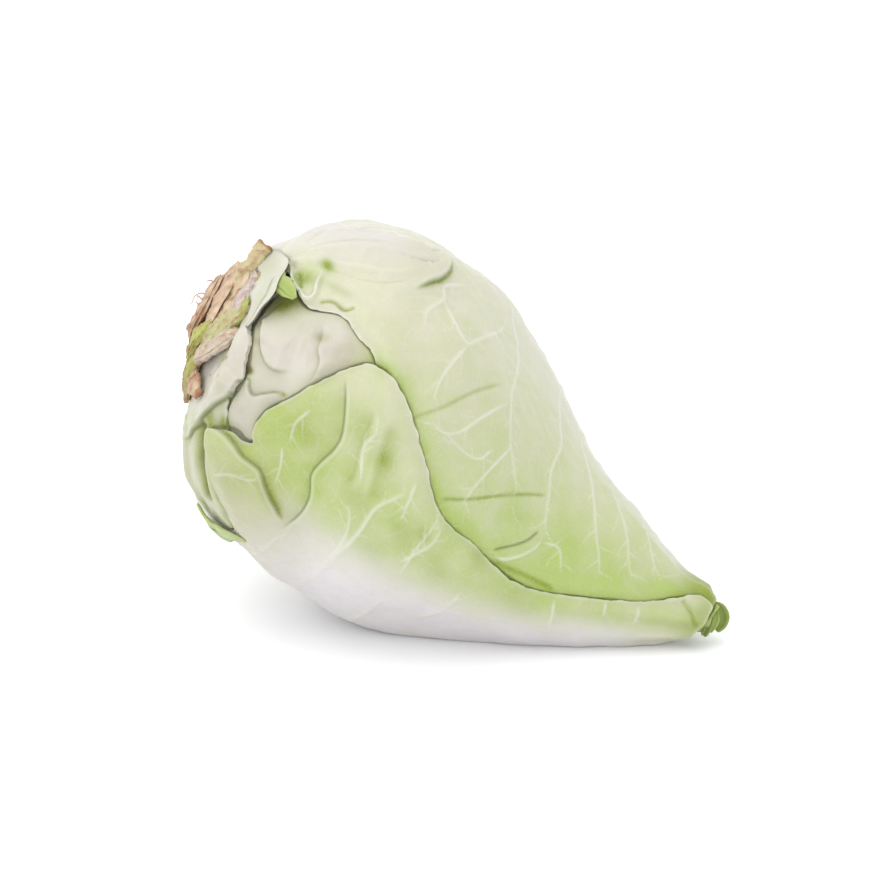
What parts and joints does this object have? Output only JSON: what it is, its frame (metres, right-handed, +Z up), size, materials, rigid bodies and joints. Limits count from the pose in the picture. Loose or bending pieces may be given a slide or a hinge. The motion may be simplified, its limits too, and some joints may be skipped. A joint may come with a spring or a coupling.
{
  "type": "pointed cabbage",
  "caption": "Pointed cabbage lying on its side: a tight leafy cone from rolled tips to a cut stem, with loose ribbed outer leaves.",
  "frame": {"origin": "on the table, under the middle of the part's box", "axes": "+X towards the leaf tips, +Y away from the side that the loose leaves open on, +Z up"},
  "size_m": [0.231, 0.1498, 0.1657],
  "materials": {
    "heart": "satin, waxy leaf",
    "leaf_inner": "satin, waxy leaf, nearly white at the base",
    "leaf_back": "satin, waxy leaf",
    "leaf_collar": "satin, waxy leaf, torn at the margin",
    "leaf_top": "satin, waxy leaf with pale veins",
    "leaf_front": "satin, waxy leaf with pale veins",
    "stump": "matt, dried and fibrous where it was cut"
  },
  "bodies": {
    "root": {"heart": "heart", "leaf_inner": "leaf_inner", "leaf_back": "leaf_back", "leaf_collar": "leaf_collar", "leaf_top": "leaf_top", "leaf_front": "leaf_front", "stump": "stump"}
  },
  "joints": []
}
